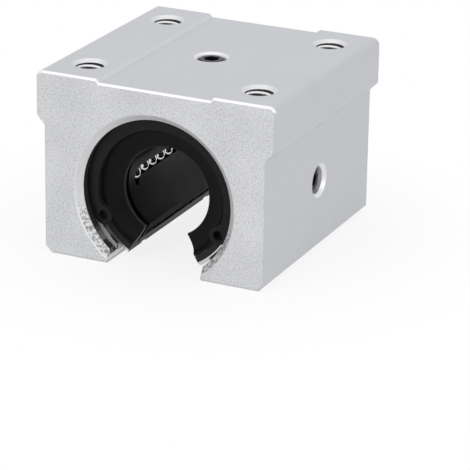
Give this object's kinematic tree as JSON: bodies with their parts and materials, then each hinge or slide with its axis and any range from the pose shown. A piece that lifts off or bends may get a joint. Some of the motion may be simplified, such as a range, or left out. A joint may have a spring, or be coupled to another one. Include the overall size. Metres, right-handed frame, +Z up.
{
  "type": "open linear ball bearing block",
  "caption": "Aluminium pillow block with an open recirculating ball bearing, held by retaining rings, that slides on a rail-supported round shaft.",
  "frame": {"origin": "on the axis of the shaft bore at the middle of the block's length", "axes": "+Y along the shaft bore, from the front rings to the rear ones; +Z up, out of the tapped mounting face; +X towards the side with the adjusting screw"},
  "size_m": [0.045, 0.045, 0.033],
  "materials": {
    "housing_aluminium": "matt clear-anodised extrusion, milled and lightly blasted end faces",
    "bearing_steel": "ground",
    "ball_steel": "polished",
    "retainer_resin": "moulded",
    "seal_rubber": "moulded",
    "ring_steel": "black phosphate",
    "screw_steel": "black oxide"
  },
  "bodies": {
    "block": {"housing_block": "housing_aluminium", "bearing_sleeve": "bearing_steel", "ball_retainer": "retainer_resin", "ball_circuit_left_side": "ball_steel", "ball_circuit_left_top": "ball_steel", "ball_circuit_right_top": "ball_steel", "ball_circuit_right_side": "ball_steel", "end_seal_front": "seal_rubber", "end_seal_rear": "seal_rubber", "stop_ring_front": "ring_steel", "stop_ring_rear": "ring_steel", "retaining_ring_front": "ring_steel", "retaining_ring_rear": "ring_steel"},
    "locking_screw": {"locking_set_screw": "screw_steel"},
    "adjusting_screw": {"adjusting_set_screw": "screw_steel"}
  },
  "joints": [
    {"name": "locking_screw_travel", "type": "slide", "parent": "block", "child": "locking_screw", "axis": [0, 0, 1], "range_m": [0, 0.0009]},
    {"name": "adjusting_screw_travel", "type": "slide", "parent": "block", "child": "adjusting_screw", "axis": [1, 0, 0], "range_m": [0, 0.0012]}
  ]
}
